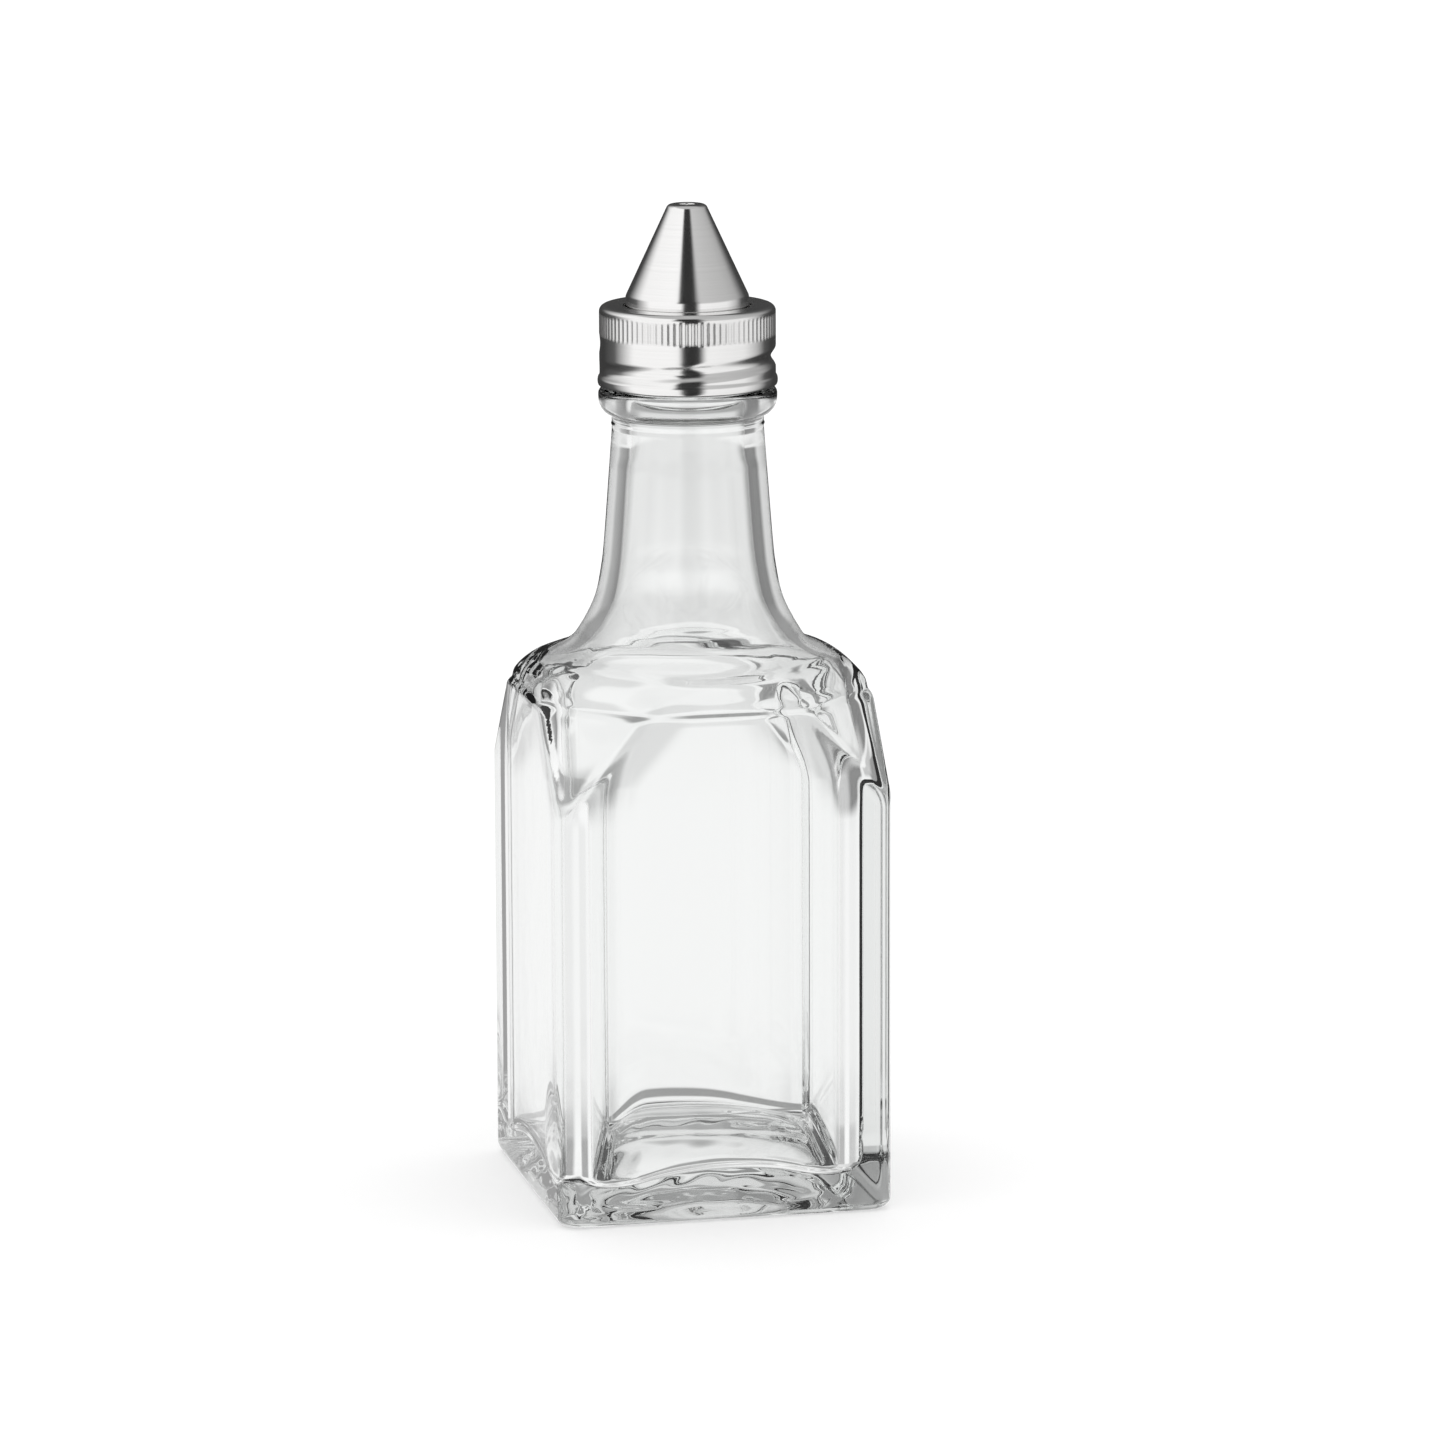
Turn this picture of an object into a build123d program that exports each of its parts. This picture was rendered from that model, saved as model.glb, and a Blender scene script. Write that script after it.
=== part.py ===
from build123d import *
import math
import os

# A small square cruet for oil or vinegar: a thick glass bottle with a threaded neck, and a steel
# pouring top made of a screw collar, a cone that the collar clamps down, and a sealing washer.
# Millimetres, +Z up, origin at the middle of the flat ring that the bottle stands on.

os.makedirs("parts", exist_ok=True)

# ---- glass body ----
body_width = 54.0
corner_radius = 3.1
heel_radius = 1.9
wall = 3.0
inner_corner_radius = 11.0
floor_thickness = 6.6
floor_radius = 3.5
floor_dome_radius = 20.0
floor_dome_height = 3.2
recess_width = 42.0
recess_depth = 1.2
recess_slope = 60
recess_dome_radius = 18.5
recess_dome_height = 3.0

# ---- triangular facets that turn the square body into an octagon at the shoulder ----
facet_apex_height = 65.2
facet_growth = 0.845

# ---- ogee of the shoulder and the tapering neck, as (radius, height); neck_join is the index of
# the point where the square body ends and the round neck starts ----
ogee = [
    (30.5, 81.0),
    (29.2, 83.5),
    (25.4, 86.1),
    (19.9, 88.2),
    (17.3, 91.0),
    (15.0, 95.5),
    (13.9, 100.5),
    (13.3, 106.0),
    (12.05, 122.5),
]
neck_join = 5

# ---- flat-sectioned panels that cut the lower ogee to an octagon, as (distance, height) ----
face_panel = [
    (27.2, 81.0),
    (26.2, 83.5),
    (23.8, 86.1),
    (19.5, 88.2),
    (17.9, 91.0),
]
facet_panel = [
    (29.2, 81.0),
    (27.6, 83.5),
    (24.6, 86.1),
    (19.7, 88.2),
    (17.9, 91.0),
]
bore_radius = 9.0

# ---- neck finish: transfer bead, thread root and lip ----
neck_top = ogee[-1]
bead_radius = 14.15
bead_bottom = 125.0
bead_middle = 128.0
bead_top = 129.2
bead_rounding = 0.9
root_radius = 12.5
lip_height = 140.05
lip_rounding = 0.6

# ---- right-hand thread shared by the glass and the collar ----
pitch = 4.233
thread_start = 132.3
thread_turns = 1.3
thread_angle = 28
thread_depth = 0.85
thread_crest = 1.0
flank_embed = 0.15

# ---- screw collar ----
sheet = 0.35
collar_radius = 13.95
collar_bottom = 129.6
collar_top = 142.3
rim_rounding = 1.0
hem_reach = 0.3
hem_height = 1.6
grip_bottom = 137.5
grip_top = 141.2
grip_count = 90
grip_depth = 0.15
grip_cutter_radius = 0.4
groove_depth = 0.8
groove_crest = 0.8
groove_start = 132.0
groove_turns = 1.0
thread_play = 0.25

# ---- pour cone ----
cone_radius = 9.75
cone_shoulder = 143.7
cone_tip = 158.2
cone_half_angle = 25
brim_fillet = 0.5
shoulder_fillet = 1.5
tip_fillet = 0.9
pour_hole_radius = 1.3
brim_radius = 13.1
clearance = 0.35

# ---- sealing washer ----
washer_thickness = 1.1
washer_inner_radius = 9.8
washer_outer_radius = 12.9
washer_rounding = 0.2

# ---- heights and angles that follow ----
facet_lean = math.atan(facet_growth / math.sqrt(2))
brim_top = collar_top - sheet - clearance
washer_top = brim_top - sheet
deck_hole_radius = cone_radius + clearance
tip_radius = cone_radius - (cone_tip - cone_shoulder) * math.tan(math.radians(cone_half_angle))
groove_lead = groove_start - thread_start + pitch / 2 - thread_play
groove_angle = thread_angle + 360 * groove_lead / pitch


def trapezoid(depth, root_width, crest_width):
    """Section of a thread rib: its root on the local Y axis, its crest at local X = depth."""
    Polygon(
        (0, -root_width / 2),
        (depth, -crest_width / 2),
        (depth, crest_width / 2),
        (0, root_width / 2),
        align=None,
    )


def helical_rib(radius, depth, root_width, crest_width, start, turns, angle):
    """A rib wound right-handed about Z from height start; a negative depth points inwards."""
    with BuildPart() as rib:
        with BuildLine(Plane.XY.offset(start)):
            path = Helix(pitch=pitch, height=pitch * turns, radius=radius)
        with BuildSketch(Plane(origin=path @ 0, x_dir=(1, 0, 0), z_dir=path % 0)):
            trapezoid(depth, root_width, crest_width)
        sweep(path=path, is_frenet=True)
    return Rot(0, 0, angle) * rib.part


def inset(points, distance):
    """Points of an outline moved square to it, towards the axis."""
    moved = []
    for index, (radius, height) in enumerate(points):
        before = Vector(*points[max(index - 1, 0)])
        after = Vector(*points[min(index + 1, len(points) - 1)])
        along = (after - before).normalized()
        moved.append((radius - along.Y * distance, height + along.X * distance))
    return moved


def panel_cut(panel, outside):
    """A straight bar whose underside follows the panel's curve, square to local X."""
    low, high = panel[0], panel[-1]
    with BuildPart() as cut:
        with BuildSketch(Plane.XZ):
            with BuildLine():
                Spline(*panel)
                Polyline(high, (outside, high[1]), (outside, low[1]), low)
            make_face()
        extrude(amount=outside, both=True)
    return cut.part


def bottle_form(half_width, radius, bottom, apex_height, outline, panels):
    """A square prism with facets at its corners, under an ogee that runs up into a round neck."""
    edge_radius, edge_height = outline[0]
    top_height = outline[-1][1]
    join = outline[neck_join][1]
    outside = 2 * half_width
    cuts = []
    for turn, panel in enumerate(panels * 4):
        cuts.append(Rot(0, 0, 45 * turn) * panel_cut(panel, outside))
    with BuildPart() as form:
        with BuildSketch(Plane.XY.offset(bottom)):
            RectangleRounded(2 * half_width, 2 * half_width, radius)
        extrude(amount=join - bottom)
        for quarter in range(4):
            turn = math.radians(45 + 90 * quarter)
            outward = Vector(math.cos(turn), math.sin(turn), 0)
            apex = outward * half_width * math.sqrt(2) + Vector(0, 0, apex_height)
            normal = outward * math.cos(facet_lean) + Vector(0, 0, math.sin(facet_lean))
            split(bisect_by=Plane(origin=apex, z_dir=normal), keep=Keep.BOTTOM)
        with BuildSketch(Plane.XZ):
            with BuildLine():
                Spline(*outline)
                Polyline(outline[-1], (outside, top_height), (outside, edge_height), outline[0])
            make_face()
        revolve(axis=Axis.Z, mode=Mode.SUBTRACT)
        for cut in cuts:
            add(cut, mode=Mode.SUBTRACT)
        with BuildSketch(Plane.XZ):
            with BuildLine():
                Spline(*outline)
                Polyline(outline[-1], (0, top_height), (0, edge_height), outline[0])
            make_face()
            with Locations((0, (join + top_height) / 2)):
                Rectangle(2 * edge_radius, top_height - join, mode=Mode.INTERSECT)
        revolve(axis=Axis.Z)
    return form.part


def dome(radius, height, base, foot):
    """A low spherical cap from base upwards, on a short cylinder that reaches down to foot."""
    with BuildPart() as cap:
        with BuildSketch(Plane.XZ):
            with BuildLine():
                Polyline((0, base + height), (0, foot), (radius, foot), (radius, base))
                TangentArc((0, base + height), (radius, base), tangent=(1, 0))
            make_face()
        revolve(axis=Axis.Z)
    return cap.part


# ---- glass bottle ----
panels = [face_panel, facet_panel]
outer_form = bottle_form(body_width / 2, corner_radius, 0, facet_apex_height, ogee, panels)

inner_ogee = inset(ogee, wall)
inner_panels = [inset(panel, wall) for panel in panels]
inner_half_width = body_width / 2 - wall
inner_apex = facet_apex_height + wall * (math.sqrt(2) * math.cos(facet_lean) - 1) / math.sin(facet_lean)
cavity = bottle_form(
    inner_half_width,
    inner_corner_radius,
    floor_thickness,
    inner_apex,
    inner_ogee,
    inner_panels,
)
cavity = fillet(cavity.faces().sort_by(Axis.Z)[0].edges(), floor_radius)
cavity -= dome(floor_dome_radius, floor_dome_height, floor_thickness, recess_depth)

glass_thread = helical_rib(
    root_radius - flank_embed,
    thread_depth + flank_embed,
    thread_crest + 2 * (thread_depth + flank_embed),
    thread_crest,
    thread_start,
    thread_turns,
    thread_angle,
)

bead_start = (neck_top[0], bead_bottom)
bead_shoulder = (bead_radius, bead_top - bead_rounding)
bead_end = (bead_radius - bead_rounding, bead_top)
lip_side = (root_radius, lip_height - lip_rounding)
lip_end = (root_radius - lip_rounding, lip_height)

with BuildPart() as glass_bottle:
    add(outer_form)
    fillet(glass_bottle.faces().sort_by(Axis.Z)[0].edges(), heel_radius)
    # neck finish
    with BuildSketch(Plane.XZ):
        with BuildLine():
            Polyline((0, lip_height), (0, neck_top[1]), neck_top, bead_start)
            Spline(bead_start, (bead_radius, bead_middle), tangents=[(1, 0), (0, 1)])
            Line((bead_radius, bead_middle), bead_shoulder)
            RadiusArc(bead_shoulder, bead_end, -bead_rounding)
            Polyline(bead_end, (root_radius, bead_top), lip_side)
            RadiusArc(lip_side, lip_end, -lip_rounding)
            Line(lip_end, (0, lip_height))
        make_face()
    revolve(axis=Axis.Z)
    add(glass_thread)
    # hollow
    add(cavity, mode=Mode.SUBTRACT)
    with BuildSketch(Plane.XY.offset(inner_ogee[-1][1] - wall)):
        Circle(bore_radius)
    extrude(until=Until.LAST, mode=Mode.SUBTRACT)
    # domed recess that leaves a flat ring to stand on
    with BuildSketch():
        RectangleRounded(recess_width, recess_width, inner_corner_radius)
    extrude(amount=recess_depth, taper=recess_slope, mode=Mode.SUBTRACT)
    add(dome(recess_dome_radius, recess_dome_height, recess_depth, 0), mode=Mode.SUBTRACT)
glass_bottle.part.label = "glass_bottle"
export_step(glass_bottle.part, "parts/glass_bottle.step")

# ---- screw collar ----
inner_radius = collar_radius - sheet
rib_root_width = groove_crest + 2 * (groove_depth + flank_embed)
channel_floor_width = groove_crest - 2 * sheet * (math.sqrt(2) - 1)
rib_inside = helical_rib(
    inner_radius + flank_embed,
    -groove_depth - flank_embed,
    rib_root_width,
    groove_crest,
    groove_start,
    groove_turns,
    groove_angle,
)
channel_outside = helical_rib(
    collar_radius + flank_embed,
    -groove_depth - flank_embed,
    channel_floor_width + 2 * (groove_depth + flank_embed),
    channel_floor_width,
    groove_start,
    groove_turns,
    groove_angle,
)

with BuildPart() as screw_collar:
    with BuildSketch(Plane.XZ):
        with BuildLine():
            FilletPolyline(
                (collar_radius, collar_bottom),
                (collar_radius, collar_top),
                (deck_hole_radius, collar_top),
                radius=rim_rounding,
            )
            offset(amount=sheet, side=Side.LEFT)
        make_face()
        with Locations((collar_radius, collar_bottom + hem_height / 2)):
            Ellipse(hem_reach, hem_height / 2)
    revolve(axis=Axis.Z)
    add(rib_inside)
    add(channel_outside, mode=Mode.SUBTRACT)
    # vertical flutes for the fingers
    with BuildSketch(Plane.XY.offset(grip_bottom)):
        with PolarLocations(collar_radius + grip_cutter_radius - grip_depth, grip_count):
            Circle(grip_cutter_radius)
    extrude(amount=grip_top - grip_bottom, mode=Mode.SUBTRACT)
screw_collar.part.label = "screw_collar"
export_step(screw_collar.part, "parts/screw_collar.step")

# ---- pour cone ----
with BuildPart() as pour_cone:
    with BuildSketch(Plane.XZ):
        with BuildLine():
            FilletPolyline(
                (brim_radius, brim_top),
                (cone_radius, brim_top),
                (cone_radius, cone_shoulder),
                (tip_radius, cone_tip),
                (pour_hole_radius, cone_tip),
                radius=[brim_fillet, shoulder_fillet, tip_fillet],
            )
            offset(amount=sheet, side=Side.LEFT)
        make_face()
    revolve(axis=Axis.Z)
pour_cone.part.label = "pour_cone"
export_step(pour_cone.part, "parts/pour_cone.step")

# ---- sealing washer ----
with BuildPart() as sealing_washer:
    with BuildSketch(Plane.XY.offset(washer_top)):
        Circle(washer_outer_radius)
        Circle(washer_inner_radius, mode=Mode.SUBTRACT)
    extrude(amount=-washer_thickness)
    fillet(sealing_washer.edges(), washer_rounding)
sealing_washer.part.label = "sealing_washer"
export_step(sealing_washer.part, "parts/sealing_washer.step")

bore_volume = math.pi * bore_radius**2 * (lip_height - inner_ogee[-1][1])
print("capacity to the lip in cubic millimetres:", round(cavity.volume + bore_volume))
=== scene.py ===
import math

import bpy
import numpy as np
from mathutils import Matrix, Vector


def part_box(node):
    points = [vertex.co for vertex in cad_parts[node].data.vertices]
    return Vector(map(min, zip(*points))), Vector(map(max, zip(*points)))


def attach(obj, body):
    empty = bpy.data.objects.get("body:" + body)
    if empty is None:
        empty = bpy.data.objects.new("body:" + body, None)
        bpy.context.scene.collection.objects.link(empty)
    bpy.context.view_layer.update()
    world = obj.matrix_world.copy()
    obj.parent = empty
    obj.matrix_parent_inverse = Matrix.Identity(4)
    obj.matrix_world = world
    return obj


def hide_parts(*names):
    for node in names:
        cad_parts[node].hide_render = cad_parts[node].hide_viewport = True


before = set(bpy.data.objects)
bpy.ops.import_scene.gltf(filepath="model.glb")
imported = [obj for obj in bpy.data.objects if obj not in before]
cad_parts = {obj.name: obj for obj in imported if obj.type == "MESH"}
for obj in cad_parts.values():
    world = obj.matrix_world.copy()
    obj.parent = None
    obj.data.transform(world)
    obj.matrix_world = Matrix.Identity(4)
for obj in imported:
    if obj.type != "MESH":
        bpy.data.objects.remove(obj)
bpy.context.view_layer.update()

MM = 0.001
TAU = 2 * math.pi

# ---- sizes, in millimetres; the overall ones come from the CAD frame ----
GLASS_HIGH = np.array(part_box("glass_bottle")[1]) / MM
COLLAR_LOW, COLLAR_HIGH = (np.array(corner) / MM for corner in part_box("screw_collar"))
CONE_HIGH = np.array(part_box("pour_cone")[1]) / MM
WASHER_LOW, WASHER_HIGH = (np.array(corner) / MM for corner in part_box("sealing_washer"))

HALF = GLASS_HIGH[0]
LIP = GLASS_HIGH[2]
CORNER_RADIUS = 3.1
HEEL_RADIUS = 1.9
WALL = 3.0
FACET_APEX = 65.2
FACET_GROWTH = 0.845
FACET_LEAN = math.atan(FACET_GROWTH / math.sqrt(2))
EDGE_SOFTNESS = 1.0
INNER_CORNER = 11.0
INNER_SOFTNESS = 4.5
SHOULDER_WALL = 1.8
THIN_WALL_HEIGHT = 84
FULL_WALL_HEIGHT = 97
RING_SOFTNESS = 1.9
RING_BLEND_DEPTH = 3
RING_BLEND_SLOPE = 2
CORNER_SPREAD = 5
SHOULDER_SOFTNESS = 2.0
FLOOR = 6.4
FLOOR_RADIUS = 4.2
CORNER_SHRINK = 0.6
FLOOR_DOME = 2.6
FLOOR_DOME_REACH = 24.0
RECESS_HALF = 21.0
RECESS_DEPTH = 1.2
RECESS_DOME = 3.2
RECESS_DOME_REACH = 20.5
RECESS_WAVE = 0.10
RESTING_HALF = 23.0
RESTING_CORNER = 5.0

# neck finish
NECK_TOP_RADIUS = 12.05
BEAD_REACH = 2.1
BEAD_MIDDLE = 128.0
BEAD_HEIGHT = 3.0
BEAD_ROUNDING = 0.9
ROOT_RADIUS = 12.5
THREAD_ZONE = 12.45
BORE_RADIUS = 9.0
LIP_ROUNDING = 0.6

# right-hand thread shared by the glass and the collar
PITCH = 4.233
THREAD_START = 132.3
THREAD_TURNS = 1.3
THREAD_LEAD = math.radians(28)
THREAD_DEPTH = 0.85
THREAD_HALF_CREST = 0.5
THREAD_FADE = 0.08

# ogee of the shoulder and the neck: radius, height, and how octagonal the section is, from 0 to 1
OGEE = [
    (30.0, 81.6, 1.0),
    (29.1, 83.6, 0.9),
    (25.4, 86.1, 0.55),
    (19.9, 88.2, 0.25),
    (17.3, 91.0, 0.05),
    (15.0, 95.5, 0.0),
    (13.9, 100.5, 0.0),
    (13.3, 106.0, 0.0),
    (12.05, 122.5, 0.0),
]
ROUND_FROM = OGEE[4][1]


# ---- small maths ----
def smooth_max(a, b, width):
    """The larger of two fields, with the crease between them rounded over width."""
    blend = np.maximum(width - np.abs(a - b), 0) / width
    return np.maximum(a, b) + blend * blend * width / 4


def smooth_step(low, high, value):
    t = np.clip((value - low) / (high - low), 0, 1)
    return t * t * (3 - 2 * t)


def curve_through(points, steps=12):
    """Points of a smooth curve through the given ones."""
    p = np.array(points, float)
    p = np.vstack([2 * p[0] - p[1], p, 2 * p[-1] - p[-2]])
    made = []
    for a, b, c, d in zip(p, p[1:], p[2:], p[3:]):
        for t in np.arange(steps) / steps:
            square, cube = 2 * a - 5 * b + 4 * c - d, 3 * b - a - 3 * c + d
            made.append(0.5 * (2 * b + (c - a) * t + square * t**2 + cube * t**3))
    made.append(p[-2])
    return np.array(made)


def arc(centre, radius, start, end, steps):
    """Points of an arc in (radius, height), angles in degrees."""
    angles = np.radians(np.linspace(start, end, steps))
    return np.stack([centre[0] + radius * np.cos(angles), centre[1] + radius * np.sin(angles)], 1)


# ---- mesh making ----
def add_mesh(name, rows, material, body, node, capped=False):
    """A smooth mesh from rows of points round the axis; capped at both ends, or else a closed ring."""
    rows = np.array(rows) * MM
    count, columns = rows.shape[:2]
    points = rows.reshape(-1, 3)
    faces = []
    for r in range(count - 1 if capped else count):
        low, high = r * columns, (r + 1) % count * columns
        for c in range(columns):
            d = (c + 1) % columns
            faces.append((low + c, low + d, high + d, high + c))
    if capped:
        first, last = len(points), len(points) + 1
        top = (count - 1) * columns
        for c in range(columns):
            d = (c + 1) % columns
            faces.append((first, d, c))
            faces.append((last, top + c, top + d))
        points = np.vstack([points, points[:columns].mean(0), points[top:].mean(0)])
    mesh = bpy.data.meshes.new(name)
    mesh.from_pydata(points.tolist(), [], faces)
    mesh.shade_smooth()
    mesh.materials.append(material)
    piece = bpy.data.objects.new(name, mesh)
    bpy.context.scene.collection.objects.link(piece)
    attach(piece, body)
    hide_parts(node)
    return piece


# ---- glass ----
def square_angles(flat_steps, corner_steps):
    """Directions round the axis, close together at the corners of the square."""
    flat = HALF - CORNER_RADIUS
    side = np.arctan2(np.linspace(-flat, flat, flat_steps, endpoint=False), HALF)
    turn = np.radians(np.linspace(0, 90, corner_steps, endpoint=False))
    corner = np.arctan2(flat + CORNER_RADIUS * np.sin(turn), flat + CORNER_RADIUS * np.cos(turn))
    quarter = np.concatenate([side, corner])
    return np.concatenate([quarter + k * TAU / 4 for k in range(4)])


ANGLES = square_angles(56, 14)
COS, SIN = np.cos(ANGLES), np.sin(ANGLES)


def octagon(spread):
    """Radius by direction of the shoulder's octagon, as a share of its circle, with soft corners."""
    corner = math.atan2(HALF - FACET_GROWTH * (OGEE[0][1] - FACET_APEX), HALF)
    turned = ANGLES[:, None] + np.radians(np.linspace(-spread, spread, 15))
    off_face = np.abs((turned + TAU / 8) % (TAU / 4) - TAU / 8)
    face = math.cos(corner) / np.cos(off_face)
    facet = math.cos(TAU / 8 - corner) / np.cos(TAU / 8 - off_face)
    return np.where(off_face < corner, face, facet).mean(1)


def square_field(x, y, half, radius):
    """Distance outside a square with rounded corners."""
    qx, qy = np.abs(x) - half + radius, np.abs(y) - half + radius
    outside = np.hypot(np.maximum(qx, 0), np.maximum(qy, 0))
    return outside + np.minimum(np.maximum(qx, qy), 0) - radius


def reach(field, far=45.0):
    """How far from the axis the field's surface lies, in each direction."""
    low = np.zeros_like(field(np.zeros(1)) + COS)
    high = low + far
    for _ in range(36):
        middle = (low + high) / 2
        inside = field(middle) < 0
        low, high = np.where(inside, middle, low), np.where(inside, high, middle)
    return (low + high) / 2


def ogee_at(z, inset):
    """Radius, octagon share and steepness of the shoulder and neck at height z, moved inwards by inset."""
    line = curve_through(OGEE)
    along = np.gradient(line[:, :2], axis=0)
    along /= np.linalg.norm(along, axis=1)[:, None]
    thinning = (1 - SHOULDER_WALL / WALL) * smooth_step(FULL_WALL_HEIGHT, THIN_WALL_HEIGHT, line[:, 1])
    depth = inset * (1 - thinning)
    radius = line[:, 0] - depth * along[:, 1]
    height = line[:, 1] + depth * along[:, 0]
    return (
        np.interp(z, height, radius),
        np.interp(z, height, line[:, 2]),
        np.interp(z, height, np.abs(along[:, 1])),
    )


def body_rows(heights, inset, corner_radius, softness, shoulder_softness):
    """Rows of the square body, its facets, the shoulder and the neck, moved inwards by inset."""
    z = np.array(heights)[:, None]
    radius, share, steep = ogee_at(z, inset)
    neck = radius * (1 + share * (octagon(CORNER_SPREAD) - 1))
    facet_limit = HALF * math.sqrt(2) * math.cos(FACET_LEAN) + FACET_APEX * math.sin(FACET_LEAN) - inset
    low_end = OGEE[0][1] - inset * SHOULDER_WALL / WALL
    above = z > low_end - RING_BLEND_DEPTH

    def field(r):
        x, y = r * COS, r * SIN
        facet = (np.abs(x) + np.abs(y)) / math.sqrt(2) * math.cos(FACET_LEAN) + z * math.sin(FACET_LEAN)
        value = smooth_max(square_field(x, y, HALF - inset, corner_radius), facet - facet_limit, softness)
        below = (r - neck) - (low_end - z) * RING_BLEND_SLOPE
        shoulder = np.where(z > low_end, (r - neck) * steep, below)
        value = np.where(above, smooth_max(value, shoulder, shoulder_softness), value)
        return np.where(z > ROUND_FROM, (r - neck) * steep, value)

    r = reach(field)
    return np.stack([r * COS, r * SIN, np.broadcast_to(z, r.shape)], -1)


def ring_row(radius, height):
    """One round row."""
    return np.stack([radius * COS, radius * SIN, height + 0 * COS], -1)


def square_row(half, radius, height):
    """One square row with rounded corners."""
    r = reach(lambda far: square_field(far * COS, far * SIN, half, radius))
    return np.stack([r * COS, r * SIN, height + 0 * COS], -1)


def glass_rows():
    rows = []
    # underside: recess, resting ring and heel
    for share in np.linspace(0.04, 1, 30):
        row = square_row(RECESS_HALF * share, INNER_CORNER * share, 0)
        row[:, 2] = recess_height(row[:, 0], row[:, 1], share)
        rows.append(row)
    rows.append(square_row(RESTING_HALF, RESTING_CORNER, 0))
    for turn in np.radians(np.linspace(0, 90, 9)):
        rows.append(
            square_row(
                HALF - HEEL_RADIUS * (1 - math.sin(turn)),
                CORNER_RADIUS,
                HEEL_RADIUS * (1 - math.cos(turn)),
            )
        )
    heights = np.concatenate([np.linspace(4, 64, 16), np.arange(65, 80, 0.5), np.arange(80, 92, 0.3)])
    rows += list(body_rows(heights, 0, CORNER_RADIUS, EDGE_SOFTNESS, RING_SOFTNESS))
    neck = curve_through(OGEE)[:, :2]
    rows += [ring_row(r, z) for r, z in neck[neck[:, 1] > 92]]
    # transfer bead, thread and lip
    profile = [(12.03, 123.2), (12.15, 123.5), (12.03, 123.8), (NECK_TOP_RADIUS, 124.6)]
    for turn in np.linspace(0.1, 1.57, 10):
        profile.append(
            (NECK_TOP_RADIUS + BEAD_REACH * math.sin(turn), BEAD_MIDDLE - BEAD_HEIGHT * math.cos(turn))
        )
    profile += list(arc((13.25, 128.3), BEAD_ROUNDING, 0, 90, 6))
    profile += [(12.9, 129.25), (12.6, 129.4), (ROOT_RADIUS, 129.7)]
    profile += [(ROOT_RADIUS, z) for z in np.arange(130, 139.3, 0.25)]
    profile += list(arc((11.9, LIP - LIP_ROUNDING), LIP_ROUNDING, 0, 90, 6))
    profile += [(10.6, LIP), (9.6, LIP)]
    profile += list(arc((9.6, LIP - LIP_ROUNDING), LIP_ROUNDING, 90, 180, 6))
    for radius, height in profile:
        rows.append(ring_row(radius + glass_thread(height) * (radius > THREAD_ZONE), height))
    # inside, from the lip down
    for z in np.arange(LIP - 1.5, 118, -2.0):
        rows.append(ring_row(BORE_RADIUS, z))
    heights = np.concatenate([np.arange(117, 92, -1.2), np.arange(92, 70, -0.4), np.arange(70, 12, -3.5)])
    rows += list(body_rows(heights, WALL, INNER_CORNER, INNER_SOFTNESS, SHOULDER_SOFTNESS))
    for turn in np.radians(np.linspace(0, 90, 14)):
        inset = FLOOR_RADIUS * (1 - math.cos(turn))
        row = square_row(HALF - WALL - inset, INNER_CORNER - inset * CORNER_SHRINK, 0)
        row[:, 2] = floor_height(row[:, 0], row[:, 1]) + FLOOR_RADIUS * (1 - math.sin(turn))
        rows.append(row)
    floor_half, floor_corner = HALF - WALL - FLOOR_RADIUS, INNER_CORNER - FLOOR_RADIUS * CORNER_SHRINK
    for share in np.linspace(0.96, 0.04, 26):
        row = square_row(floor_half * share, floor_corner * share, 0)
        row[:, 2] = floor_height(row[:, 0], row[:, 1])
        rows.append(row)
    return rows


def floor_height(x, y):
    """The glass floor, domed in the middle and low at the corners."""
    distance = np.hypot(x, y)
    return FLOOR + FLOOR_DOME * (1 - (distance / FLOOR_DOME_REACH) ** 4)


def recess_height(x, y, share):
    """The underside: a step up from the resting ring, then a dome with gentle waves."""
    distance = np.hypot(x, y)
    step = RECESS_DEPTH * smooth_step(1.0, 0.86, share)
    dome = RECESS_DOME * np.maximum(1 - (distance / RECESS_DOME_REACH) ** 2, 0)
    across = np.sin(0.55 * x + 0.3 * y + 0.6 + 0.8 * np.sin(0.4 * y))
    waves = RECESS_WAVE * across * np.sin(0.5 * y - 0.35 * x)
    return step + dome + waves * smooth_step(1.0, 0.85, share)


def glass_thread(height):
    """How far the right-hand thread stands out at this height, round the neck."""
    best = np.zeros_like(ANGLES)
    for turn in range(-1, 3):
        along = (ANGLES - THREAD_LEAD) / TAU + turn
        fade = smooth_step(0, THREAD_FADE, along)
        fade = fade * smooth_step(THREAD_TURNS, THREAD_TURNS - THREAD_FADE, along)
        gap = np.abs(height - (THREAD_START + PITCH * along))
        rise = np.clip((THREAD_HALF_CREST + THREAD_DEPTH - gap) / THREAD_DEPTH, 0, 1)
        best = np.maximum(best, THREAD_DEPTH * smooth_step(0, 1, rise) * fade)
    return best


# ---- shader nodes ----
def add_node(tree, kind, inputs=(), **settings):
    """A shader node with its inputs linked or set."""
    node = tree.nodes.new(kind)
    for name, value in settings.items():
        setattr(node, name, value)
    for name, value in dict(inputs).items():
        if isinstance(value, bpy.types.NodeSocket):
            tree.links.new(value, node.inputs[name])
        else:
            node.inputs[name].default_value = value
    return node


def maths(tree, operation, *values):
    """The result of one Math node."""
    return add_node(tree, "ShaderNodeMath", dict(enumerate(values)), operation=operation).outputs[0]


def grey(value):
    """A colour from one brightness."""
    return (value, value, value, 1)


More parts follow.
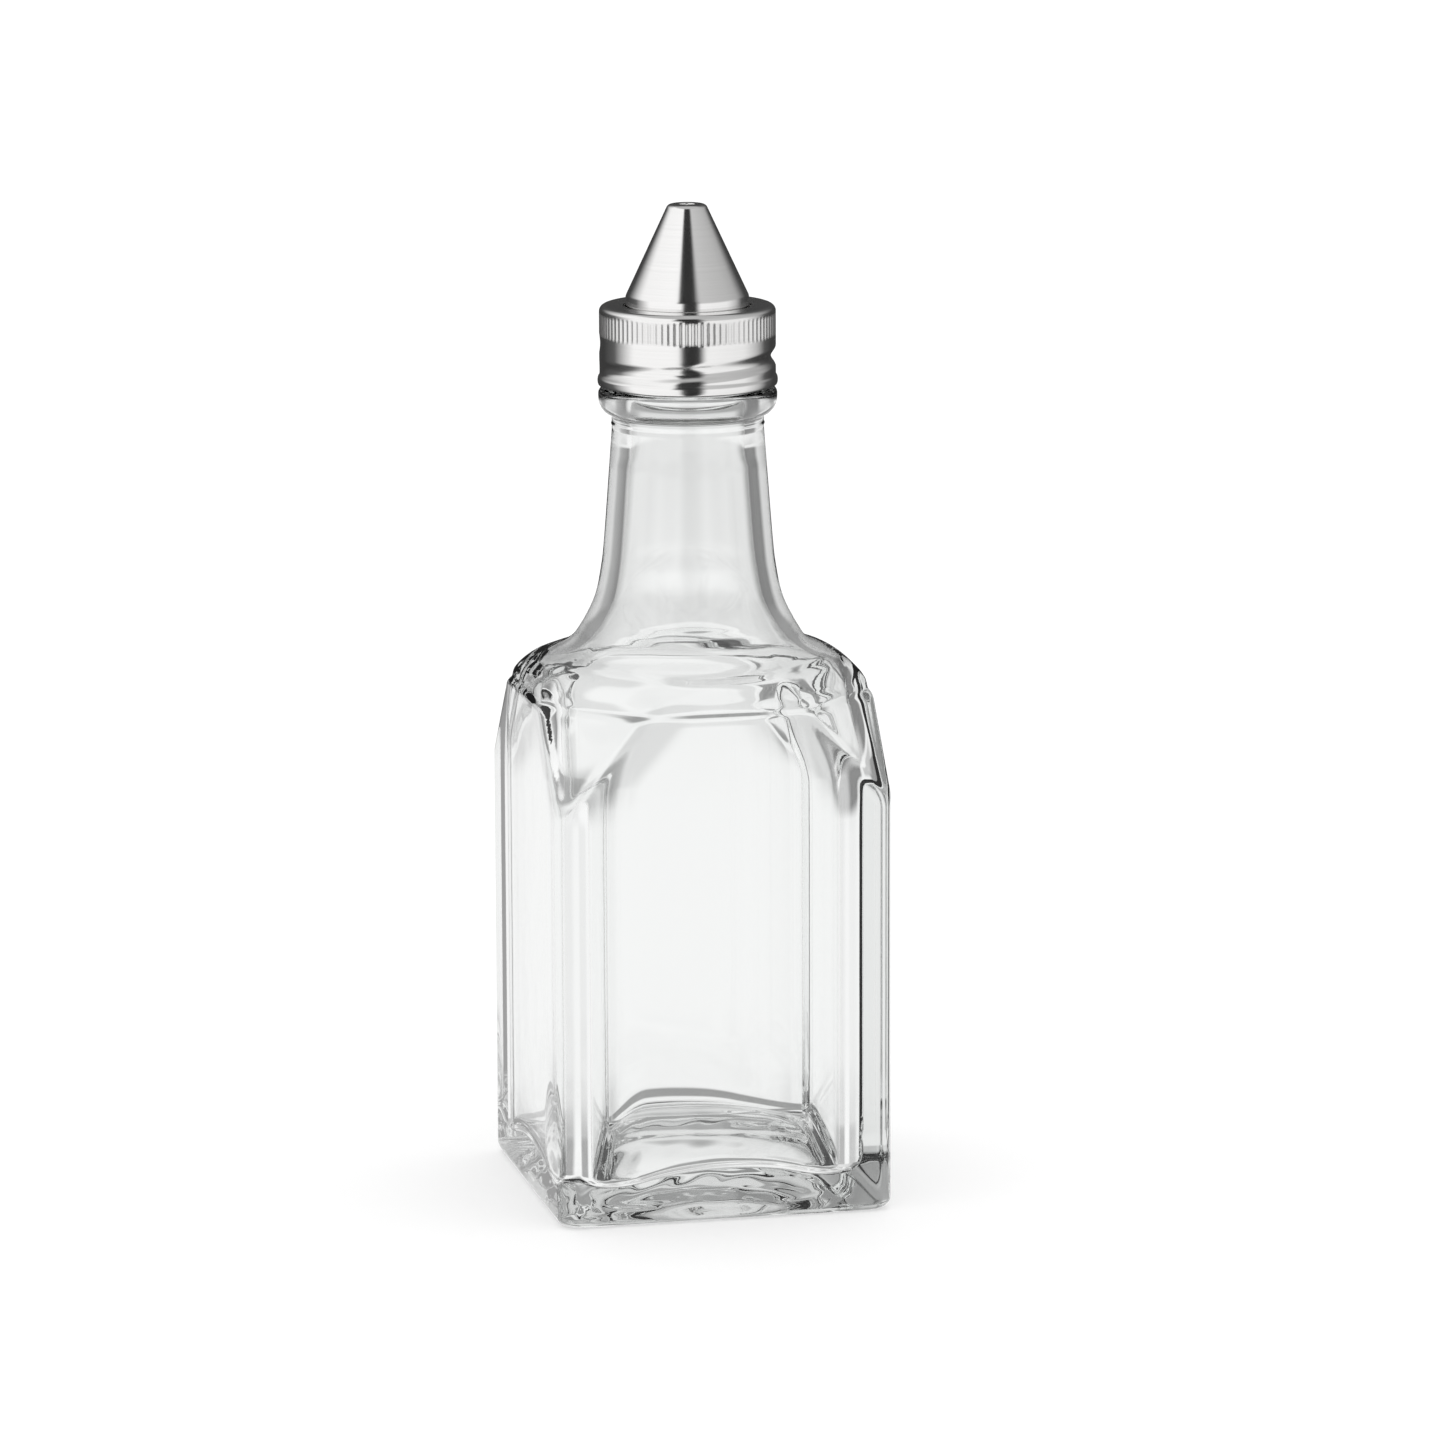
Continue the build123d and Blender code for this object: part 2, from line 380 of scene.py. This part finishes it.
def ramp(tree, factor, stops):
    """A grey that goes through the given (place, brightness) stops."""
    node = add_node(tree, "ShaderNodeValToRGB", {"Fac": factor})
    elements = node.color_ramp.elements
    elements.remove(elements[1])
    for index, (place, value) in enumerate(stops):
        element = elements[0] if index == 0 else elements.new(place)
        element.position = place
        element.color = grey(value)
    return node.outputs[0]


def new_material(name):
    material = bpy.data.materials.new(name)
    material.use_nodes = True
    tree = material.node_tree
    return material, tree, tree.nodes["Principled BSDF"]


# ---- materials ----
GLASS_TINT = (0.99, 0.995, 0.992, 1)
GLASS_DEPTH_TINT = (0.42, 0.46, 0.44, 1)
GLASS_DENSITY = 5.0
GLASS_IOR = 1.5
ROLLED_STEEL_COLOR = (0.80, 0.795, 0.79)
SPUN_STEEL_COLOR = (0.82, 0.815, 0.81)
DULL_SHARE, BRIGHT_SHARE = 0.93, 1.05
SMEAR_ROUGHNESS = 0.08
BAND_ROUGHNESS = 0.2
BAND_EDGE = 0.0003
RUBBER_DARK = (0.74, 0.73, 0.70, 1)
RUBBER_LIGHT = (0.84, 0.83, 0.80, 1)


def glass_material():
    """Clear pressed glass: a faint tint by depth and a slightly uneven fire-polished skin."""
    material, tree, shader = new_material("pressed_glass")
    place = add_node(tree, "ShaderNodeTexCoord").outputs["Object"]
    shader.inputs["Base Color"].default_value = GLASS_TINT
    shader.inputs["Roughness"].default_value = 0.0
    shader.inputs["IOR"].default_value = GLASS_IOR
    shader.inputs["Transmission Weight"].default_value = 1.0
    skin = add_node(tree, "ShaderNodeTexNoise", {"Vector": place, "Scale": 90.0, "Detail": 1.0})
    bump = add_node(
        tree, "ShaderNodeBump", {"Height": skin.outputs[0], "Strength": 0.3, "Distance": 0.0001}
    )
    tree.links.new(bump.outputs[0], shader.inputs["Normal"])
    depth = add_node(
        tree, "ShaderNodeVolumeAbsorption", {"Color": GLASS_DEPTH_TINT, "Density": GLASS_DENSITY}
    )
    tree.links.new(depth.outputs[0], tree.nodes["Material Output"].inputs["Volume"])
    return material


def steel_material(name, color, roughness, spin, dull_band):
    """Stainless steel with fine marks round the axis, handling wear, and a duller band of heights."""
    material, tree, shader = new_material(name)
    place = add_node(tree, "ShaderNodeTexCoord").outputs["Object"]
    x, y, z = add_node(tree, "ShaderNodeSeparateXYZ", {"Vector": place}).outputs
    radius = maths(
        tree, "SQRT", maths(tree, "ADD", maths(tree, "MULTIPLY", x, x), maths(tree, "MULTIPLY", y, y))
    )
    line = add_node(tree, "ShaderNodeCombineXYZ", {"X": radius, "Z": z}).outputs[0]
    marks = add_node(tree, "ShaderNodeTexNoise", {"Vector": line, "Scale": 4000.0, "Detail": 2.0})
    smears = add_node(tree, "ShaderNodeTexNoise", {"Vector": place, "Scale": 140.0, "Detail": 4.0})
    shares = (DULL_SHARE, BRIGHT_SHARE)
    dull, bright = [tuple(channel * share for channel in color) + (1,) for share in shares]
    shade = add_node(tree, "ShaderNodeMix", {0: marks.outputs[0], 6: dull, 7: bright}, data_type="RGBA")
    tree.links.new(shade.outputs[2], shader.inputs["Base Color"])
    middle, half = sum(dull_band) / 2 * MM, (dull_band[1] - dull_band[0]) / 2 * MM
    away = maths(tree, "ABSOLUTE", maths(tree, "SUBTRACT", z, middle))
    band = add_node(
        tree, "ShaderNodeMapRange", {"Value": away, "From Min": half, "From Max": half - BAND_EDGE}
    ).outputs[0]
    smoothest = roughness - SMEAR_ROUGHNESS / 2
    polish = maths(tree, "MULTIPLY_ADD", smears.outputs[0], SMEAR_ROUGHNESS, smoothest)
    rough = maths(tree, "MULTIPLY_ADD", band, BAND_ROUGHNESS, polish)
    tree.links.new(rough, shader.inputs["Roughness"])
    shader.inputs["Metallic"].default_value = 1.0
    bump = add_node(
        tree, "ShaderNodeBump", {"Height": marks.outputs[0], "Strength": spin, "Distance": 0.00001}
    )
    tree.links.new(bump.outputs[0], shader.inputs["Normal"])
    return material


def rubber_material():
    """Matt white food-grade rubber, faintly mottled."""
    material, tree, shader = new_material("white_rubber")
    place = add_node(tree, "ShaderNodeTexCoord").outputs["Object"]
    grain = add_node(tree, "ShaderNodeTexNoise", {"Vector": place, "Scale": 900.0, "Detail": 3.0})
    shade = add_node(
        tree,
        "ShaderNodeMix",
        {0: grain.outputs[0], 6: RUBBER_DARK, 7: RUBBER_LIGHT},
        data_type="RGBA",
    )
    tree.links.new(shade.outputs[2], shader.inputs["Base Color"])
    shader.inputs["Roughness"].default_value = 0.55
    shader.inputs["Subsurface Weight"].default_value = 0.15
    shader.inputs["Subsurface Radius"].default_value = (0.001, 0.001, 0.001)
    bump = add_node(
        tree, "ShaderNodeBump", {"Height": grain.outputs[0], "Strength": 0.2, "Distance": 0.00003}
    )
    tree.links.new(bump.outputs[0], shader.inputs["Normal"])
    return material


add_mesh(
    "glass_body", glass_rows(), glass_material(), "bottle", "glass_bottle", capped=True
)

# ---- steel top ----
SHEET = 0.35
GRIP_COUNT = 90
GRIP = (137.4, 141.3)
GRIP_DEPTH = 0.11
GROOVE_START = 132.0
GROOVE_ANGLE = math.radians(161.2)
GROOVE_DEPTH = 0.8
GROOVE_HALF_WIDTH = 1.7
GROOVE_FADE = 0.12
GROOVE_END = (1.06, 0.94)
SIDE_ZONE = (12.4, 13.2)
OUTER_FACE = 13.75
GRIP_EDGE = 0.5
RIM_ROUNDING = 1.0
HEM_REACH = 0.3
HEM_HALF_HEIGHT = 0.8
BRIM_RADIUS = 13.1
DECK_HOLE = 10.1
POUR_HOLE = 1.3
CONE_RADIUS = 9.75
CONE_SHOULDER = 143.7
CONE_HALF_ANGLE = math.radians(25)
CONE_ROUNDINGS = [0.5, 1.5, 0.9]
BRIM_HEIGHT = COLLAR_HIGH[2] - 2 * SHEET
WASHER_PLAY = 0.05
WASHER_ROUNDING = 0.2
WASHER_GROOVE_ROUNDING = 0.3
WASHER_GROOVE = 0.12
COLLAR_COLUMNS = GRIP_COUNT * 8
ROUND_COLUMNS = 192
COLLAR_ANGLES = np.arange(COLLAR_COLUMNS) * TAU / COLLAR_COLUMNS
ROUND_ANGLES = np.arange(ROUND_COLUMNS) * TAU / ROUND_COLUMNS


def rounded(points, radii, steps=8):
    """A polyline in (radius, height) with its inner corners turned into arcs."""
    points = [np.array(p, float) for p in points]
    made = [points[0]]
    for before, corner, after, radius in zip(points, points[1:], points[2:], radii):
        back = (before - corner) / np.linalg.norm(before - corner)
        on = (after - corner) / np.linalg.norm(after - corner)
        half = math.acos(np.clip(back @ on, -1, 1)) / 2
        start, end = corner + back * radius / math.tan(half), corner + on * radius / math.tan(half)
        middle = corner + (back + on) / np.linalg.norm(back + on) * radius / math.sin(half)
        for t in np.linspace(0, 1, steps + 1):
            spoke = (start - middle) * (1 - t) + (end - middle) * t
            made.append(middle + spoke / np.linalg.norm(spoke) * radius)
    made.append(points[-1])
    return np.array(made)


def filled(profile, step):
    """The same line with points no further apart than step."""
    made = []
    for a, b in zip(profile, profile[1:]):
        count = max(1, math.ceil(np.linalg.norm(b - a) / step))
        made += [a + (b - a) * t / count for t in range(count)]
    made.append(profile[-1])
    return np.array(made)


def thickened(profile, thickness, edge=3):
    """A closed outline of sheet: the profile, its far edge, the other face and its near edge."""
    along = np.gradient(profile, axis=0)
    along /= np.linalg.norm(along, axis=1)[:, None]
    inner = profile + np.stack([-along[:, 1], along[:, 0]], 1) * thickness
    turns = np.radians(np.linspace(0, 180, edge + 2)[1:-1])
    ends = []
    for face, other, way in ((profile[-1], inner[-1], along[-1]), (inner[0], profile[0], -along[0])):
        middle, spoke = (face + other) / 2, (face - other) / 2
        reach_out = way * thickness / 2
        ends.append([middle + spoke * math.cos(t) + reach_out * math.sin(t) for t in turns])
    return np.vstack([profile, ends[0], inner[::-1], ends[1]])


def lathe(outline, angles, shape=None):
    """Rows of a turned form; shape may move the radius by angle and height."""
    rows = []
    for radius, height in outline:
        r = radius + (shape(radius, height, angles) if shape else 0 * angles)
        rows.append(np.stack([r * np.cos(angles), r * np.sin(angles), height + 0 * angles], -1))
    return rows


def groove(height, angles):
    """How deep the rolled right-hand groove is at this height, round the collar."""
    best = 0 * angles
    for turn in range(-1, 3):
        along = (angles - GROOVE_ANGLE) / TAU + turn
        fade = smooth_step(0, GROOVE_FADE, along) * smooth_step(*GROOVE_END, along)
        gap = (height - GROOVE_START - PITCH * along) / GROOVE_HALF_WIDTH
        section = np.where(np.abs(gap) < 1, (0.5 + 0.5 * np.cos(math.pi * gap)) ** 0.8, 0)
        best = np.maximum(best, GROOVE_DEPTH * fade * section)
    return best


def collar_shape(radius, height, angles):
    """The hem, flutes and groove of the collar's side, as a change of radius."""
    side = smooth_step(*SIDE_ZONE, radius)
    outer = radius > OUTER_FACE
    hem = max(0, 1 - ((height - COLLAR_LOW[2] - HEM_HALF_HEIGHT) / HEM_HALF_HEIGHT) ** 2)
    flute = (0.5 - 0.5 * np.cos(GRIP_COUNT * angles)) ** 0.7
    low, high = GRIP
    band = smooth_step(low, low + GRIP_EDGE, height) * smooth_step(high, high - GRIP_EDGE, height)
    change = HEM_REACH * math.sqrt(hem) - GRIP_DEPTH * flute * band
    return outer * change - side * groove(height, angles)


def collar_rows():
    side, top = COLLAR_HIGH[0] - HEM_REACH, COLLAR_HIGH[2]
    profile = rounded(
        [(side, COLLAR_LOW[2] + SHEET / 2), (side, top), (DECK_HOLE + SHEET / 2, top)],
        [RIM_ROUNDING],
        10,
    )
    return lathe(thickened(filled(profile, 0.2), SHEET), COLLAR_ANGLES, collar_shape)


def cone_rows():
    tip = CONE_HIGH[2]
    tip_radius = CONE_RADIUS - (tip - CONE_SHOULDER) * math.tan(CONE_HALF_ANGLE)
    profile = rounded(
        [
            (BRIM_RADIUS - SHEET / 2, BRIM_HEIGHT),
            (CONE_RADIUS, BRIM_HEIGHT),
            (CONE_RADIUS, CONE_SHOULDER),
            (tip_radius, tip),
            (POUR_HOLE + SHEET / 2, tip),
        ],
        CONE_ROUNDINGS,
        10,
    )
    return lathe(thickened(filled(profile, 0.4), SHEET), ROUND_ANGLES)


def washer_rows():
    low, high = WASHER_LOW[2], WASHER_HIGH[2]
    inner, outer = CONE_RADIUS + WASHER_PLAY, WASHER_HIGH[0]
    middle = (inner + outer) / 2
    edges = [WASHER_ROUNDING] * 2
    profile = rounded(
        [
            (middle, low),
            (outer, low),
            (outer, high),
            (middle + 0.9, high),
            (middle + 0.6, high - WASHER_GROOVE),
            (middle - 0.6, high - WASHER_GROOVE),
            (middle - 0.9, high),
            (inner, high),
            (inner, low),
            (middle, low),
        ],
        edges + [WASHER_GROOVE_ROUNDING] * 4 + edges,
        5,
    )
    return lathe(filled(profile, 0.3)[:-1], ROUND_ANGLES)


rolled_steel = steel_material("rolled_steel", ROLLED_STEEL_COLOR, 0.14, 0.3, GRIP)
spun_steel = steel_material("spun_steel", SPUN_STEEL_COLOR, 0.13, 0.25, (0, BRIM_HEIGHT))
add_mesh("collar", collar_rows(), rolled_steel, "collar", "screw_collar")
add_mesh("cone", cone_rows(), spun_steel, "spout", "pour_cone")
add_mesh("washer", washer_rows(), rubber_material(), "spout", "sealing_washer")

# ---- camera ----
CAMERA_AZIMUTH = math.radians(-12.844)
CAMERA_ELEVATION = math.radians(11.177)
CAMERA_ROLL = math.radians(-0.214)
CAMERA_DISTANCE = 1.147
CAMERA_AIM = Vector((0.00488, -0.00243, 0.07534))
CAMERA_LENS = 179.5
CAMERA_SENSOR = 36
CAMERA_FAR = 20
camera_data = bpy.data.cameras.new("camera")
camera_data.sensor_width = CAMERA_SENSOR
camera_data.lens = CAMERA_LENS
camera_data.clip_end = CAMERA_FAR
camera = bpy.data.objects.new("camera", camera_data)
bpy.context.scene.collection.objects.link(camera)
bpy.context.scene.camera = camera
flat = math.cos(CAMERA_ELEVATION)
back = Vector(
    (math.sin(CAMERA_AZIMUTH) * flat, -math.cos(CAMERA_AZIMUTH) * flat, math.sin(CAMERA_ELEVATION))
)
camera.rotation_mode = "QUATERNION"
camera.location = CAMERA_AIM + back * CAMERA_DISTANCE
facing = (-back).to_track_quat("-Z", "Y").to_matrix()
camera.rotation_quaternion = (Matrix.Rotation(CAMERA_ROLL, 3, back) @ facing).to_quaternion()


# ---- stage ----
FLOOR_SIDES = 96
FLOOR_DISC_RADIUS = 7.5


def add_floor():
    """A large pale disc."""
    angles = np.arange(FLOOR_SIDES) * TAU / FLOOR_SIDES
    edge = np.stack([np.cos(angles), np.sin(angles), 0 * angles], 1) * FLOOR_DISC_RADIUS
    mesh = bpy.data.meshes.new("floor")
    mesh.from_pydata(edge.tolist(), [], [tuple(range(FLOOR_SIDES))])
    material, _, shader = new_material("pale_floor")
    shader.inputs["Base Color"].default_value = (0.55, 0.55, 0.55, 1)
    shader.inputs["Roughness"].default_value = 0.9
    shader.inputs["Specular IOR Level"].default_value = 0.0
    shader.inputs["Emission Color"].default_value = (1, 1, 1, 1)
    shader.inputs["Emission Strength"].default_value = 0.5
    mesh.materials.append(material)
    floor = bpy.data.objects.new("floor", mesh)
    bpy.context.scene.collection.objects.link(floor)
    floor.visible_glossy = False
    floor.visible_transmission = False


def mixed(tree, factor, first, second):
    """Two colours mixed by a factor."""
    return add_node(tree, "ShaderNodeMix", {0: factor, 6: first, 7: second}, data_type="RGBA").outputs[2]


def around(tree, turn, *stops):
    """A grey that changes round the object; places are degrees to the right of straight behind it."""
    return ramp(tree, turn, [(place / 360 + 0.5, value) for place, value in stops])


def rising(tree, lift, low, high):
    """A share that grows from 0 to 1 between two heights, in degrees above the horizon."""
    limits = {"Value": lift, "From Min": low / 180 + 0.5, "From Max": high / 180 + 0.5}
    return add_node(tree, "ShaderNodeMapRange", limits, interpolation_type="SMOOTHSTEP").outputs[0]


def studio_directions(tree):
    """How far round and how far up a ray points, as shares of a whole turn and of a half turn."""
    place = add_node(tree, "ShaderNodeTexCoord").outputs["Generated"]
    x, y, z = add_node(tree, "ShaderNodeSeparateXYZ", {"Vector": place}).outputs
    sine, cosine = math.sin(-CAMERA_AZIMUTH), math.cos(CAMERA_AZIMUTH)
    behind = maths(tree, "ADD", maths(tree, "MULTIPLY", x, sine), maths(tree, "MULTIPLY", y, cosine))
    right = maths(
        tree, "SUBTRACT", maths(tree, "MULTIPLY", x, cosine), maths(tree, "MULTIPLY", y, sine)
    )
    turn = maths(tree, "MULTIPLY_ADD", maths(tree, "ARCTAN2", right, behind), 1 / TAU, 0.5)
    lift = maths(tree, "MULTIPLY_ADD", maths(tree, "ARCSINE", z), 1 / math.pi, 0.5)
    return turn, lift


def gloss_light(tree, turn, lift):
    """What polished steel reflects: two soft boxes at the sides, with dark gaps between them."""
    low = around(
        tree,
        turn,
        (-180, 0.03), (-175, 0.03), (-169, 1.15), (-105, 1.15), (-90, 0.7), (-70, 0.12), (-40, 0.05),
        (40, 0.05), (60, 0.1), (78, 0.6), (100, 1.0), (155, 1.1), (164, 0.03), (180, 0.03),
    )
    high = around(
        tree,
        turn,
        (-180, 0.02), (-165, 0.02), (-159, 1.15), (-80, 1.1), (-60, 0.85), (-40, 0.45), (-22, 0.08),
        (22, 0.08), (40, 0.22), (60, 0.45), (90, 0.56), (153, 0.66), (164, 0.02), (180, 0.02),
    )
    gloss = mixed(tree, rising(tree, lift, 5, 25), low, high)
    return mixed(tree, rising(tree, lift, 48, 62), gloss, grey(0.55))


def through_light(tree, turn, lift):
    """What is seen through the glass, from the floor under it up to the ceiling."""
    floor = around(
        tree,
        turn,
        (-180, 0.6), (-158, 1.0), (-141, 1.0), (-135, 0.6), (-115, 0.6), (-109, 1.0), (-96, 1.0),
        (-90, 0.4), (-72, 0.4), (-66, 1.0), (-51, 1.0), (-45, 0.7), (-30, 0.8), (-20, 0.93),
        (20, 0.93), (44, 0.6), (65, 0.6), (71, 1.0), (84, 1.0), (90, 0.5), (110, 0.5), (116, 1.0),
        (129, 1.0), (135, 0.6), (155, 0.6), (162, 1.0), (172, 1.0), (180, 0.6),
    )
    near = around(
        tree,
        turn,
        (-180, 0.6), (-158, 1.0), (-60, 1.0), (-40, 0.3), (40, 0.3), (60, 0.7), (162, 1.0), (180, 0.6),
    )
    table = mixed(tree, 0.85, floor, grey(0.95))
    room = around(
        tree,
        turn,
        (-180, 0.1), (-168, 0.1), (-160, 1.0), (-75, 1.0), (-62, 0.8), (-54, 0.25), (-30, 0.45),
        (-20, 0.78), (20, 0.78), (32, 0.22), (60, 0.22), (74, 0.6), (160, 0.6), (168, 0.1),
    )
    high = around(
        tree,
        turn,
        (-180, 0.1), (-150, 0.4), (-70, 0.35), (-40, 0.3), (0, 0.45), (60, 0.2), (100, 0.25), (160, 0.3),
    )
    through = mixed(tree, rising(tree, lift, -48, -40), floor, near)
    through = mixed(tree, rising(tree, lift, -26, -21), through, floor)
    through = mixed(tree, rising(tree, lift, -15.5, -13.5), through, table)
    through = mixed(tree, rising(tree, lift, -12, -8.5), through, room)
    through = mixed(tree, rising(tree, lift, 6, 14), through, high)
    return mixed(tree, rising(tree, lift, 30, 45), through, grey(0.7))


def add_studio():
    """A pale studio, brighter or darker for reflections and for rays through the glass."""
    world = bpy.data.worlds.new("studio")
    bpy.context.scene.world = world
    world.use_nodes = True
    tree = world.node_tree
    turn, lift = studio_directions(tree)
    gloss = gloss_light(tree, turn, lift)
    glass_gloss = mixed(tree, rising(tree, lift, -11.5, -9), grey(0.95), gloss)
    ray = add_node(tree, "ShaderNodeLightPath").outputs
    gloss = mixed(tree, ray["Is Singular Ray"], gloss, glass_gloss)
    color = mixed(tree, ray["Is Glossy Ray"], grey(1.07), gloss)
    color = mixed(tree, ray["Is Transmission Ray"], color, through_light(tree, turn, lift))
    tree.links.new(color, tree.nodes["Background"].inputs["Color"])
    bpy.context.scene.view_settings.view_transform = "Standard"


# enough bounces for light to cross the glass walls, but few enough for its ends to stay dark
TRANSMISSION_BOUNCES = 24
GLOSSY_BOUNCES = 6
MAX_BOUNCES = 28

add_floor()
add_studio()
bpy.context.scene.cycles.transmission_bounces = TRANSMISSION_BOUNCES
bpy.context.scene.cycles.glossy_bounces = GLOSSY_BOUNCES
bpy.context.scene.cycles.max_bounces = MAX_BOUNCES
